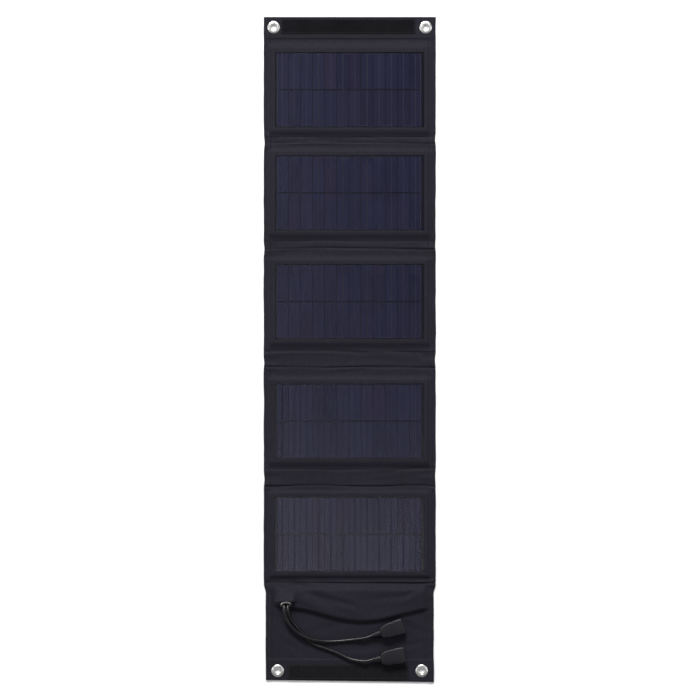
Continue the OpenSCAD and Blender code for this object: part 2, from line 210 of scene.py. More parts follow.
class Shader:
    """A node material under construction."""

    def __init__(self, name, roughness, metallic=0.0, **sockets):
        self.material = bpy.data.materials.new(name)
        self.material.use_nodes = True
        self.tree = self.material.node_tree
        self.surface = self.tree.nodes["Principled BSDF"]
        self.set(self.surface, "Roughness", roughness)
        self.set(self.surface, "Metallic", metallic)
        for key, value in sockets.items():
            self.set(self.surface, key.replace("_", " "), value)
        self.place = self.node("ShaderNodeTexCoord").outputs["Object"]

    def node(self, kind, **settings):
        made = self.tree.nodes.new(kind)
        for key, value in settings.items():
            setattr(made, key, value)
        return made

    def set(self, node, socket, value):
        if isinstance(value, bpy.types.NodeSocket):
            self.tree.links.new(value, node.inputs[socket])
        else:
            node.inputs[socket].default_value = value

    def math(self, operation, a, b=0.0, c=0.0):
        node = self.node("ShaderNodeMath", operation=operation)
        for i, value in enumerate((a, b, c)):
            self.set(node, i, value)
        return node.outputs[0]

    def axis(self, index):
        axes = self.tree.nodes.get("axes")
        if axes is None:
            axes = self.node("ShaderNodeSeparateXYZ", name="axes")
            self.set(axes, 0, self.place)
        return axes.outputs[index]

    def noise(self, scale, detail=2.0, stretch=(1, 1, 1)):
        mapped = self.node("ShaderNodeMapping")
        self.set(mapped, "Vector", self.place)
        self.set(mapped, "Scale", stretch)
        node = self.node("ShaderNodeTexNoise")
        self.set(node, "Vector", mapped.outputs[0])
        self.set(node, "Scale", scale)
        self.set(node, "Detail", detail)
        return node.outputs["Fac"]

    def mix(self, amount, a, b):
        node = self.node("ShaderNodeMix", data_type="RGBA")
        self.set(node, "Factor", amount)
        self.set(node, 6, (*a, 1) if isinstance(a, tuple) else a)
        self.set(node, 7, (*b, 1) if isinstance(b, tuple) else b)
        return node.outputs[2]

    def spread(self, value, low, high, to_low=0.0, to_high=1.0):
        node = self.node("ShaderNodeMapRange")
        for socket, number in (("Value", value), ("From Min", low), ("From Max", high),
                               ("To Min", to_low), ("To Max", to_high)):
            self.set(node, socket, number)
        return node.outputs[0]

    def weave(self, pitch, twill=0.0):
        """Height of a plain weave, 0 to 1: over and under threads of that pitch."""
        turn = math.pi / pitch
        x = self.math("MULTIPLY", self.axis(0), turn)
        y = self.math("MULTIPLY", self.axis(1), turn)
        if twill:
            x = self.math("ADD", x, self.math("MULTIPLY", y, twill))
        across = self.math("SINE", x)
        along = self.math("SINE", y)
        return self.math("MULTIPLY_ADD", self.math("MULTIPLY", across, along), 0.5, 0.5)

    def colour(self, value):
        self.set(self.surface, "Base Color", value)

    def rough(self, value):
        self.set(self.surface, "Roughness", value)

    def bump(self, height, distance, strength=0.6):
        node = self.node("ShaderNodeBump")
        self.set(node, "Height", height)
        self.set(node, "Distance", distance)
        self.set(node, "Strength", strength)
        self.set(self.surface, "Normal", node.outputs[0])


def cloth_material(name, dark, light, pitch, depth, roughness=0.82, sheen=0.12, twill=0.0):
    """Woven polyester: threads over and under, with slubs and slow changes of shade."""
    s = Shader(name, roughness, Sheen_Weight=sheen, Sheen_Roughness=0.5,
               Specular_IOR_Level=0.3)
    threads = s.weave(pitch, twill)
    slubs = s.noise(900, 2, (1, 0.25, 1))
    shade = s.noise(14, 3)
    tone = s.math("ADD", s.math("MULTIPLY", threads, 0.35),
                  s.math("ADD", s.math("MULTIPLY", slubs, 0.35), s.math("MULTIPLY", shade, 0.6)))
    s.colour(s.mix(s.spread(tone, 0.35, 1.0), dark, light))
    s.rough(s.spread(slubs, 0.3, 0.7, roughness - 0.08, roughness + 0.08))
    s.bump(s.math("ADD", threads, s.math("MULTIPLY", slubs, 0.4)), depth, 0.7)
    return s.material


def metal_material(name, colour, roughness, brushed=(1, 1, 1)):
    s = Shader(name, roughness, metallic=1.0)
    grain = s.noise(500, 3, brushed)
    stain = s.noise(90, 4)
    s.colour(s.mix(s.spread(stain, 0.35, 0.75), colour, tuple(c * 0.78 for c in colour)))
    s.rough(s.spread(grain, 0.3, 0.7, roughness - 0.06, roughness + 0.12))
    s.bump(grain, 0.02 * MM, 0.35)
    return s.material


def plastic_material(name, colour, roughness, grain_scale=1800, depth=0.02 * MM, **sockets):
    s = Shader(name, roughness, **sockets)
    grain = s.noise(grain_scale, 2)
    shade = s.noise(60, 3)
    lighter = tuple(c * 1.35 + 0.002 for c in colour)
    s.colour(s.mix(s.spread(shade, 0.3, 0.75), colour, lighter))
    s.rough(s.spread(grain, 0.3, 0.7, roughness - 0.07, roughness + 0.07))
    s.bump(grain, depth, 0.5)
    return s.material


# Cells: strips in a row, the left edge of the first, and the fingers printed across them. One
# gloss serves the film, the cells and the back sheet, so that they reflect the cards alike.
CELLS_PER_ROW = 12
CELL_PITCH = 12.1 * MM
CELL_X = -0.8 * MM - CELLS_PER_ROW / 2 * CELL_PITCH
ROW_SHADES_PER_M = 27
FINGER_PITCH = 1.7 * MM
FILM_GLOSS = 0.13


def cell_material():
    """Silicon strips: each its own shade of dark blue, with fine pale fingers across."""
    s = Shader("cells", FILM_GLOSS)
    column = s.math("FLOOR", s.math("DIVIDE", s.math("SUBTRACT", s.axis(0), CELL_X), CELL_PITCH))
    row = s.math("FLOOR", s.math("MULTIPLY", s.axis(1), ROW_SHADES_PER_M))
    pair = s.node("ShaderNodeCombineXYZ")
    s.set(pair, 0, column)
    s.set(pair, 1, row)
    random_shade = s.node("ShaderNodeTexWhiteNoise", noise_dimensions="3D")
    s.set(random_shade, "Vector", pair.outputs[0])
    grain = s.noise(160, 4, (1, 0.35, 1))
    tone = s.math("ADD", s.math("MULTIPLY", random_shade.outputs["Value"], 0.5),
                  s.math("MULTIPLY", grain, 0.7))
    blue = s.mix(s.spread(tone, 0.2, 1.0), (0.0058, 0.0066, 0.0248), (0.0140, 0.0150, 0.0460))
    violet = s.mix(s.spread(tone, 0.2, 1.0), (0.0085, 0.0063, 0.0232), (0.0185, 0.0140, 0.0410))
    second_shade = s.node("ShaderNodeTexWhiteNoise", noise_dimensions="4D")
    s.set(second_shade, "Vector", pair.outputs[0])
    s.set(second_shade, "W", 3.0)  # a seed, so that tint and shade differ
    silicon = s.mix(s.math("POWER", second_shade.outputs["Value"], 2.0), blue, violet)
    phase = s.math("FRACT", s.math("DIVIDE", s.axis(1), FINGER_PITCH))
    off = s.math("ABSOLUTE", s.math("SUBTRACT", phase, 0.5))
    finger = s.spread(off, 0.10, 0.05, 0, 0.12)
    s.colour(s.mix(finger, silicon, (0.045, 0.045, 0.07)))
    return s.material


def film_material():
    """Clear film, a little hazy, that swells slightly over what it covers."""
    s = Shader("film", FILM_GLOSS, Alpha=0.15)
    haze = s.noise(20, 3)
    swell = s.noise(45, 1)
    s.colour(s.mix(s.spread(haze, 0.3, 0.7), (0.0090, 0.0090, 0.0240), (0.0120, 0.0115, 0.0290)))
    s.bump(swell, 0.05 * MM, 0.25)
    return s.material


def floor_material():
    s = Shader("floor", 0.9)
    s.colour(s.mix(s.noise(3), (0.90, 0.90, 0.90), (0.91, 0.91, 0.91)))
    return s.material


def board_material(name, colour, roughness=0.5):
    """Glass-fibre sheet: a faint weave under lacquer."""
    s = Shader(name, roughness)
    fibres = s.weave(0.45 * MM)
    s.colour(s.mix(s.math("MULTIPLY", fibres, 0.6), colour, tuple(c * 1.8 for c in colour)))
    s.bump(fibres, 0.01 * MM, 0.3)
    return s.material


MATERIALS = {
    "cover": cloth_material("cover", (0.0027, 0.0021, 0.0063), (0.0075, 0.0061, 0.0150),
                            0.62 * MM, 0.10 * MM, sheen=0.03),
    "lining": cloth_material("lining", (0.0100, 0.0095, 0.0125), (0.0190, 0.0180, 0.0230),
                             0.35 * MM, 0.05 * MM, roughness=0.62, sheen=0.05),
    "thread": cloth_material("thread", (0.0060, 0.0054, 0.0085), (0.0150, 0.0140, 0.0200),
                             0.12 * MM, 0.04 * MM, roughness=0.55, twill=0.6),
    "hook": plastic_material("hook", (0.0020, 0.0019, 0.0034), 0.7, 900, Specular_IOR_Level=0.1),
    "loop": cloth_material("loop", (0.0013, 0.0011, 0.0024), (0.0033, 0.0029, 0.0054),
                           0.3 * MM, 0.05 * MM, roughness=0.9, sheen=0.01),
    "nickel": metal_material("nickel", (0.80, 0.80, 0.79), 0.34),
    "steel": metal_material("steel", (0.66, 0.66, 0.66), 0.28, (1, 0.12, 1)),
    "gold": metal_material("gold", (0.83, 0.62, 0.26), 0.26),
    "copper": metal_material("copper", (0.42, 0.20, 0.12), 0.4),
    "ribbon": metal_material("ribbon", (0.045, 0.045, 0.070), 0.5),
    "cells": cell_material(),
    "film": film_material(),
    "backsheet": board_material("backsheet", (0.0012, 0.0012, 0.0030), FILM_GLOSS),
    "circuit": board_material("circuit", (0.02, 0.10, 0.045), 0.35),
    "cable": plastic_material("cable", (0.0030, 0.0029, 0.0045), 0.36, 700, 0.015 * MM,
                              Specular_IOR_Level=0.4),
    "socket": plastic_material("socket", (0.0040, 0.0037, 0.0065), 0.48, 2200, 0.03 * MM,
                               Specular_IOR_Level=0.35),
    "case": plastic_material("case", (0.018, 0.018, 0.020), 0.55),
    "tongue": plastic_material("tongue", (0.72, 0.72, 0.70), 0.42),
    "floor": floor_material(),
}


# --- Making pieces ------------------------------------------------------------------------

def smooth_faces(mesh, sharp):
    """Smooth shading, but for edges sharper than sharp degrees."""
    mesh.polygons.foreach_set("use_smooth", [True] * len(mesh.polygons))
    mesh.set_sharp_from_angle(angle=math.radians(sharp))


def piece(name, points, faces, material, sharp=40):
    """A mesh piece, its points in the frame's own metres."""
    mesh = bpy.data.meshes.new(name)
    mesh.from_pydata([tuple(p) for p in points], [], faces)
    mesh.validate()
    mesh.update()
    smooth_faces(mesh, sharp)
    mesh.materials.append(MATERIALS[material])
    made = bpy.data.objects.new(name, mesh)
    bpy.context.scene.collection.objects.link(made)
    return made


def apply_modifiers(made, sharp=40):
    graph = bpy.context.evaluated_depsgraph_get()
    mesh = bpy.data.meshes.new_from_object(made.evaluated_get(graph))
    made.modifiers.clear()
    made.data = mesh
    smooth_faces(mesh, sharp)


class Parts:
    """Points and faces gathered from many small shapes."""

    def __init__(self):
        self.points, self.faces = [], []

    def add(self, points, faces, place=Matrix.Identity(4)):
        start = len(self.points)
        self.points += [place @ Vector(p) for p in points]
        self.faces += [tuple(start + i for i in face) for face in faces]

    def piece(self, name, material, slot, sharp=40):
        return piece(name, self.points, self.faces, material, sharp)


def ring_faces(rings, sides):
    """Faces of a tube of that many rings of points, closed at both ends."""
    faces = [(i * sides + j, i * sides + (j + 1) % sides,
              (i + 1) * sides + (j + 1) % sides, (i + 1) * sides + j)
             for i in range(rings - 1) for j in range(sides)]
    faces.append(tuple(reversed(range(sides))))
    faces.append(tuple((rings - 1) * sides + j for j in range(sides)))
    return faces


def lathe(profile, sides=56):
    """A closed ring turned about Z from a closed outline of (radius, z)."""
    count = len(profile)
    points = [(r * math.cos(a), r * math.sin(a), z)
              for j in range(sides) for a in [2 * math.pi * j / sides] for r, z in profile]
    faces = [(j * count + i, ((j + 1) % sides) * count + i,
              ((j + 1) % sides) * count + (i + 1) % count, j * count + (i + 1) % count)
             for j in range(sides) for i in range(count)]
    return points, faces


def rounded_box(size, radius, steps=3):
    """A box with rounded upright edges and a small bevel at top and bottom, standing on z=0."""
    def outline(inset, z):
        w, d, r = size[0] / 2 - inset, size[1] / 2 - inset, max(radius - inset, 0.05 * MM)
        return [(sx * (w - r) + r * math.cos(a), sy * (d - r) + r * math.sin(a), z)
                for q, (sx, sy) in enumerate(((1, 1), (-1, 1), (-1, -1), (1, -1)))
                for s in range(steps + 1) for a in [math.pi / 2 * (q + s / steps)]]
    bevel = min(0.25 * size[2], 0.35 * radius)
    levels = [(bevel, 0), (0, bevel), (0, size[2] - bevel), (bevel, size[2])]
    points = [p for inset, z in levels for p in outline(inset, z)]
    return points, ring_faces(4, 4 * (steps + 1))


def catmull(points, steps):
    """A smooth line through the points, with steps stretches between each two."""
    ends = [2 * points[0] - points[1], *points, 2 * points[-1] - points[-2]]
    line = []
    for i in range(1, len(ends) - 2):
        a, b, c, d = ends[i - 1:i + 3]
        for s in range(steps):
            t = s / steps
            line.append(0.5 * (2 * b + (c - a) * t + (2 * a - 5 * b + 4 * c - d) * t ** 2
                               + (3 * b - a - 3 * c + d) * t ** 3))
    return line + [points[-1]]


# --- Cables -------------------------------------------------------------------------------

CABLE_D = 3.4 * MM

# Routes from inside the outlet to each socket's neck: x, distance below the flap's fold, z,
# in millimetres, as in the CAD source
ROUTES = [
    [(-65.3, 18.5, 4.7), (-65.3, 21, 6.4), (-65.3, 23.5, 8.1), (-65.2, 26.4, 9.2),
     (-64.6, 30.5, 9), (-62.4, 36.5, 7.9), (-58.5, 42.5, 7.2), (-52.2, 48.6, 6.9),
     (-44.5, 53.2, 6.9), (-35, 56.5, 6), (-23, 58, 4.3), (-10.5, 57.8, 3.5),
     (2.5, 56.4, 4.1), (14.5, 54.7, 5.7), (22.1, 52.2, 5.75)],
    [(-61.7, 18.5, 4.7), (-61.7, 21, 6.4), (-61.7, 23.5, 8.1), (-61.6, 26.4, 9.2),
     (-60.8, 30.5, 8.7), (-58.6, 36, 6.6), (-54.6, 42, 4.5), (-49, 48, 3.5),
     (-43.5, 54.5, 3.3), (-35.5, 61, 3.3), (-24, 65.3, 3.3), (-13, 69.3, 3.6),
     (-5, 73.2, 4.2), (3, 76.2, 5.2), (14.4, 77.6, 6.65), (22.3, 76.2, 6.65)],
]

# How far each socket is turned from the strip's +X towards +Y
SOCKET_TURNS = [math.radians(18), math.radians(10)]


def in_row(point):
    """A place of the strip from x, distance below the flap's fold and z, in millimetres."""
    return Vector((point[0] * MM, FLAP_Y - point[1] * MM, point[2] * MM))


def make_cable(number):
    name = f"cable_cord_{number + 1}"
    line = catmull([in_row(p) for p in ROUTES[number]], 6)
    data = bpy.data.curves.new(name, "CURVE")
    data.dimensions = "3D"
    data.bevel_depth = CABLE_D / 2
    data.bevel_resolution = 6
    data.use_fill_caps = True
    spline = data.splines.new("POLY")
    spline.points.add(len(line) - 1)
    for point, place in zip(spline.points, line):
        point.co = (*place, 1)
    spline.use_smooth = True
    cable = bpy.data.objects.new(name, data)
    cable.data.materials.append(MATERIALS["cable"])
    bpy.context.scene.collection.objects.link(cable)
    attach(cable, "flap")
    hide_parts(f"cable_{number + 1}")
    return cable


# --- Sockets, drawn along +X from the neck to the mouth ------------------------------------

SOCKET_LEN = 33 * MM
SOCKET_W, SOCKET_H = 16 * MM, 8.5 * MM
SHELL_W, SHELL_H, SHELL_T = 13.2 * MM, 5.8 * MM, 0.4 * MM
SHELL_BACK = SOCKET_LEN - 16.6 * MM
CORNER_STEPS = 5
RING_SIDES = 4 * (CORNER_STEPS + 1)


def socket_place(number):
    neck = in_row(ROUTES[number][-1])
    return Matrix.Translation(neck) @ Matrix.Rotation(SOCKET_TURNS[number], 4, "Z")


def rounded_ring(x, w, h, r):
    """Outline at x of a rectangle w by h with corners of radius r."""
    return [(x, sy * (w / 2 - r) + r * math.cos(a), sz * (h / 2 - r) + r * math.sin(a))
            for q, (sy, sz) in enumerate(((1, 1), (-1, 1), (-1, -1), (1, -1)))
            for s in range(CORNER_STEPS + 1) for a in [math.pi / 2 * (q + s / CORNER_STEPS)]]


def housing_sections():
    """Strain relief with four ribs, shoulder, body that widens, grip grooves, mouth."""
    sections = []
    for i in range(4):
        wide = (5.0 + 0.7 * i) * MM
        thin = wide - 0.95 * MM
        x = 2.2 * MM * i
        for dx, w in ((0, wide - 0.3 * MM), (0.2, wide), (1.1, wide), (1.3, wide - 0.3 * MM),
                      (1.4, thin), (2.05, thin)):
            sections.append((x + dx * MM, w, w * (1 - 0.03 * i), 0.46 * w))
    for x, w, h, r in ((8.8, 8.6, 6.0, 2.6), (9.1, 10.2, 6.9, 2.6), (9.8, 11.4, 7.6, 2.5),
                       (11.5, 12.6, 8.1, 2.4), (14, 14.0, 8.35, 2.2), (17.5, 15.2, 8.5, 2.0)):
        sections.append((x * MM, w * MM, h * MM, r * MM))
    for i in range(3):
        x = 18.6 + 2 * i
        for dx, cut in ((0, 0), (0.2, 0.45), (0.8, 0.45), (1.0, 0)):
            sections.append(((x + dx) * MM, SOCKET_W - (0.5 + cut) * MM,
                             SOCKET_H - cut * 0.6 * MM, 1.9 * MM))
    for dx, inset in ((24.6, 0.1), (32.2, 0), (32.7, 0.25), (33, 0.9)):
        sections.append((dx * MM, SOCKET_W - inset * MM, SOCKET_H - inset * MM, 1.8 * MM))
    return sections


def make_housing(number):
    """Plastic body, and the hollow in its mouth that takes the metal shell."""
    rings = [rounded_ring(*s) for s in housing_sections()]
    gap = 0.06 * MM
    for x, r in ((SOCKET_LEN, 0.7), (SOCKET_LEN - 0.3 * MM, 0.6), (SHELL_BACK, 0.6)):
        rings.append(rounded_ring(x, SHELL_W + 2 * gap, SHELL_H + 2 * gap, r * MM))
    parts = Parts()
    parts.add([p for ring in rings for p in ring], ring_faces(len(rings), RING_SIDES),
              socket_place(number))
    made = parts.piece(f"socket_body_{number + 1}", "socket", "socket_plastic", 32)
    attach(made, "flap")
    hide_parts(f"socket_housing_{number + 1}")
    return made


def spring_tab(front, side, y):
    """A bowed leaf inside the shell's upper or lower wall."""
    def bow(t):
        return (0.08 + 0.55 * math.sin(math.pi * t) * (1 - 0.3 * t)) * MM
    points = [(front - 4.0 * MM - 6 * MM * t, y * MM + 1.0 * MM * s,
               side * (SHELL_H / 2 - SHELL_T - bow(t) - level * 0.16 * MM))
              for level in (0, 1) for t in (0, 0.2, 0.4, 0.6, 0.8, 1) for s in (-1, 1)]
    strip = [(2 * i, 2 * i + 1, 2 * i + 3, 2 * i + 2) for i in range(5)]
    faces = strip + [tuple(12 + j for j in reversed(f)) for f in strip]
    faces += [(2 * i + e, 2 * i + 2 + e, 14 + 2 * i + e, 12 + 2 * i + e)
              for i in range(5) for e in (0, 1)]
    faces += [(0, 1, 13, 12), (10, 11, 23, 22)]
    return points, faces


def make_shell(number):
    """Metal shell: a folded tube with a flared lip, a back wall and four spring tabs."""
    front = SOCKET_LEN - 0.2 * MM
    flare = 0.35 * MM
    sections = [(SHELL_BACK, 0, 0.6), (front - 1.0 * MM, 0, 0.6), (front, 0, 0.6),
                (front, -2 * SHELL_T, 0.4), (front - 1.1 * MM, -2 * SHELL_T - flare, 0.4),
                (SHELL_BACK + SHELL_T, -2 * SHELL_T, 0.4)]
    rings = [rounded_ring(x, SHELL_W + d, SHELL_H + d, r * MM) for x, d, r in sections]
    parts = Parts()
    place = socket_place(number)
    parts.add([p for ring in rings for p in ring], ring_faces(len(rings), RING_SIDES), place)
    for side in (-1, 1):
        for y in (-3.2, 3.2):
            parts.add(*spring_tab(front, side, y), place)
    made = parts.piece(f"socket_can_{number + 1}", "steel", "socket_metal", 35)
    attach(made, "flap")
    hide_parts(f"socket_shell_{number + 1}")
    return made


def make_tongue(number):
    """The insert, a back block with a tongue, and four contacts under the tongue."""
    place = socket_place(number)
    back = SHELL_BACK + SHELL_T
    inner_w, inner_h = SHELL_W - 2 * SHELL_T, SHELL_H - 2 * SHELL_T
    block = Parts()
    turn = Matrix.Rotation(math.pi / 2, 4, "Y")
    for size, radius, x, z in (((inner_h, inner_w, 3 * MM), 0.4 * MM, back, 0),
                               ((1.9 * MM, 11.1 * MM, 12 * MM), 0.5 * MM, back, 0.95 * MM)):
        points, faces = rounded_box(size, radius)
        block.add(points, faces, place @ Matrix.Translation((x, 0, z)) @ turn)
    tongue = block.piece(f"socket_insert_{number + 1}", "tongue", "tongue_plastic", 35)
    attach(tongue, "flap")
    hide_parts(f"socket_tongue_{number + 1}")
    contacts = Parts()
    for i in range(4):
        points, faces = rounded_box((0.14 * MM, 1.0 * MM, 7.4 * MM), 0.05 * MM)
        contacts.add(points, faces, place @ Matrix.Translation(
            (back + 3.6 * MM, (i - 1.5) * 2.3 * MM, -0.05 * MM)) @ turn)
    leaves = contacts.piece(f"socket_contacts_{number + 1}", "gold", "socket_metal", 35)
    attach(leaves, "flap")
    return tongue, leaves


def make_cords():
    for number in range(2):
        cable = make_cable(number)
        on_it = [make_housing(number), make_shell(number), *make_tongue(number)]


# --- The cloth's shape ---------------------------------------------------------------------

# Creases beside the folds: distance above the fold line, and depth, in millimetres
CREASES = [
    [(4.5, 0.5), (-1.5, 0.5)],
    [(6.0, 0.5), (-1.5, 0.8)],
    [(9.5, 0.4), (-6.0, 1.1)],
    [(8.5, 0.5), (-8.5, 1.1)],
    [(0.3, 1.1)],
]

# Slack in the flap's cloth: x, distance above the fold, half length, slope, depth, width, the
# lengths in millimetres
SLACK = [
    (-37, -11, 22, -0.5, 1.3, 4.5), (-8, -19, 16, -0.3, 0.6, 2.5), (40, -14, 20, 0.12, 0.4, 2.5),
    (62, -9, 12, 0.5, 0.5, 2.5), (66, -46, 14, -0.45, 0.35, 3), (-20, -44, 22, 0.25, 0.3, 3),
    (10, -66, 30, 0.06, 0.3, 2.5), (-60, -62, 14, -0.7, 0.3, 3), (60, -62, 16, 0.2, 0.3, 2.2),
]
SIDE_HEM = 6.2 * MM
ROLL = 1.5 * MM
EDGE_LOW = 0.5 * MM
LOWEST_FACE = 1.15 * MM

# The strip's lower end is cut aslant: by how much at its corners, and from which y on
SLANT = 1 * MM
SLANT_FROM = -0.30


def make_wrinkles():
    """Short slanting wrinkles beside each fold: place, half length, slope, depth, width."""
    rng = random.Random(11)
    wrinkles = []
    for fold in FOLDS[:4]:
        wrinkles.append([(rng.uniform(-80, 80) * MM, fold + rng.uniform(-12, 12) * MM,
                          rng.uniform(14, 45) * MM, rng.uniform(-0.14, 0.14),
                          rng.uniform(0.2, 0.5) * MM, rng.uniform(0.9, 1.9) * MM)
                         for _ in range(9)])
    wrinkles.append([(x * MM, FLAP_Y + y * MM, long * MM, slope, depth * MM, width * MM)
                     for x, y, long, slope, depth, width in SLACK])
    return wrinkles


WRINKLES = make_wrinkles()


def wrinkle_dip(x, y, number):
    """Depth at a point of the wrinkles beside that fold, each with a low ridge along it."""
    dip = 0
    for x0, y0, long, slope, depth, width in WRINKLES[number]:
        off = y - y0 - slope * (x - x0)
        if abs(off) < 5 * width:
            dip += depth * bell(x - x0, long) * (
                bell(off, width) - 0.55 * bell(abs(off) - 2.2 * width, width))
    return dip


def half_width(y, side):
    """Half the strip's width at y: narrower on the flap, drawn in at folds, a little wavy."""
    half = STRIP_X + (FLAP_X - STRIP_X) * smooth((FLAP_Y - 1 * MM - y) / (9 * MM))
    wave = 0.45 * MM * ripple(0, y, 1, 26, 3.1 * side) + 0.3 * MM * ripple(0, y, 1, 70, 5.7 * side)
    pinch = sum(bell(y - fold - 2 * MM * side, 5 * MM) for fold in FOLDS[:4])
    return half + wave - 0.7 * MM * pinch


def beyond_board(x, y):
    """Distance of a point outside the nearest laminate's edge, 0 over the laminate. It counts
    less below the first four and above the first, where the cloth slopes down gently."""
    dx = max(abs(x) - BOARD_X, 0)
    below = 0.7 if y > MIDS[-1] else 1
    above = 0.6 if y > MIDS[0] else 1
    return min(math.hypot(dx, max((low.y - y) * below, (y - high.y) * above, 0))
               for low, high in BOARDS)


def pocket_edge(x):
    """Y of the sagging lower edge of the flap's pocket."""
    u = min(1, abs((x - 12 * MM) / (72 * MM)))
    return FLAP_Y - 27 * MM - 13 * MM * (1 - u * u) ** 2


def flap_rise(x, y):
    """How far the flap's cloth stands up: the pocket over the regulator and the outlet's tent."""
    below = FLAP_Y - y
    if below < 0:
        return 0
    edge = pocket_edge(x) + 0.8 * MM * ripple(x, 0, 40, 1, 2.2)
    top = POCKET_Z - FACE + 0.5 * MM * ripple(x, y, 22, 40, 9.1)
    sides = smooth((x + 66 * MM) / (12 * MM)) * smooth((81 * MM - x) / (9 * MM))
    pocket = top * smooth((below - 1.5 * MM) / (6 * MM)) * sides
    fall = (y - edge + 1.2 * MM) / (5.2 * MM)
    pocket *= smooth(fall)
    front = OUTLET.z + (y - OUTLET.y) * math.tan(OUTLET_TILT) - FACE
    rear = (RIDGE_Z - FACE) * smooth((below - 2 * MM) / (17 * MM)) ** 0.8
    off = abs(x - OUTLET.x) - 5.6 * MM
    tent = min(max(front, 0), rear) * (1 - smooth(off / (8.5 * MM)))
    return max(pocket, tent) + 0.25 * min(pocket, tent) * smooth(off / (3 * MM))


def front_height(x, y):
    """Height of the front cloth's upper face."""
    out = beyond_board(x, y)
    free = smooth((out - 0.5 * MM) / (7 * MM))
    z = FACE + (RIM_TOP - FACE) * (1 - smooth(out / (5.2 * MM)))
    z += 0.28 * MM * free
    z += free * (0.34 * MM * ripple(x, y, 18, 55) + 0.18 * MM * ripple(x, y, 60, 95, 4.4))
    for number, (fold, creases) in enumerate(zip(FOLDS, CREASES)):
        near = y - fold
        if abs(near) > 40 * MM and number < PANELS - 1:
            continue
        z -= free * wrinkle_dip(x, y, number)
        for offset, depth in creases:
            wander = 1.3 * MM * ripple(x, offset, 20, 1, 6.0)
            d = near - offset * MM - wander
            strength = 0.7 + 0.7 * ripple(x, offset, 18, 1, 1.5)
            dip = bell(d, 0.8 * MM) - 0.62 * bell(abs(d) - 2.0 * MM, 1.5 * MM)
            z -= free * depth * MM * strength * dip
        edge = STRIP_X - abs(x)
        pucker = math.sin(near / (1.9 * MM) + 2 * math.copysign(1, x))
        z += 0.5 * MM * free * pucker * bell(edge - 6 * MM, 9 * MM) * bell(near, 12 * MM)
    z += flap_rise(x, y)
    if LOW_HEM_Y - 1 * MM < y < LOW_HEM_Y + 25 * MM:
        z += 0.5 * MM * max(0, ripple(x, y, 30, 30, 7.7)) * smooth((y - LOW_HEM_Y) / (8 * MM))
    return z


def hem_height(x, y, z):
    """Adds the end hems, which are folded double, to the cloth's height."""
    crown = 0.12 * MM * ripple(x, y, 30, 60, 8.8)
    for inner, outward in HEMS:
        step = smooth(((y - inner) * outward + 0.6 * MM) / (1.4 * MM))
        z = z + (HEM_TOP + crown - z) * step
    return z


def cloth_point(x, y):
    """Where a point of the flat cut (for a strip of full width) lies on the front."""
    side = 1 if x > 0 else -1
    half = half_width(y, side)
    keep = BOARD_X + 0.8 * MM
    if abs(x) > keep:
        x = side * (keep + (abs(x) - keep) * (half - keep) / (STRIP_X - keep))
    z = hem_height(x, y, front_height(x, y))
    edge = half - abs(x)
    z += 0.40 * MM * smooth((SIDE_HEM + 0.5 * MM - edge) / (1.0 * MM))
    z -= 0.35 * MM * bell(edge - SIDE_HEM - 0.9 * MM, 0.8 * MM)
    z = max(z, LOWEST_FACE)
    end = END_Y - abs(y)
    for gap in (edge, end):
        if gap < ROLL:
            bend = math.sqrt(max(0, 1 - (1 - max(gap, 0) / ROLL) ** 2))
            z = EDGE_LOW + (z - EDGE_LOW) * bend
    slant = -SLANT * x / FLAP_X * smooth((SLANT_FROM - y) / (25 * MM))
    return Vector((x, y + slant, z))


def back_point(x, y):
    """Where the same point lies on the back cloth's inner face."""
    place = cloth_point(x, y)
    lift = 0.05 * MM * ripple(place.x, y, 30, 40, 12.0)
    return Vector((place.x * 0.9985, place.y * 0.9997, BACK_TOP - 0.06 * MM + lift))


# --- Sheets --------------------------------------------------------------------------------

def grid_lines(low, high, step, features, near=(0.5, 1.1, 2.0)):
    """Grid coordinates from low to high, closer together beside each feature."""
    marks = {low, high}
    for f in features:
        marks.update([f] + [f + s * d * MM for d in near for s in (-1, 1)])
    marks = sorted(m for m in marks if low - 1e-9 <= m <= high + 1e-9)
    clear = [marks[0]]
    for m in marks[1:]:
        if m - clear[-1] > 0.25 * MM:
            clear.append(m)
    clear[-1] = high
    lines = []
    for a, b in zip(clear, clear[1:]):
        count = max(1, round((b - a) / step + 0.35))
        lines += [a + (b - a) * i / count for i in range(count)]
    return lines + [high]


def in_window(x, y):
    return abs(x) < WINDOW_X and any(
        low.y + RIM_LAP < y < high.y - RIM_LAP for low, high in BOARDS)


HOLE_CUT = 4.3 * MM
TENT_FROM = 3 * MM
CLEAR_OF_FLOOR = 0.02 * MM
FRONT_CLOTH, BACK_CLOTH = 0.5 * MM, 0.42 * MM


def in_hole(place):
    """Whether a place on a sheet falls in a corner hole, or in the outlet high on the tent."""
    if any(math.hypot(place.x - m["pos_m"][0], place.y - m["pos_m"][1]) < HOLE_CUT
           for m in HOLES):
        return True
    off = place - OUTLET
    axis = Vector((0, -math.sin(OUTLET_TILT), math.cos(OUTLET_TILT)))
    return place.z > TENT_FROM and (off - axis * off.dot(axis)).length < HOLE_CUT


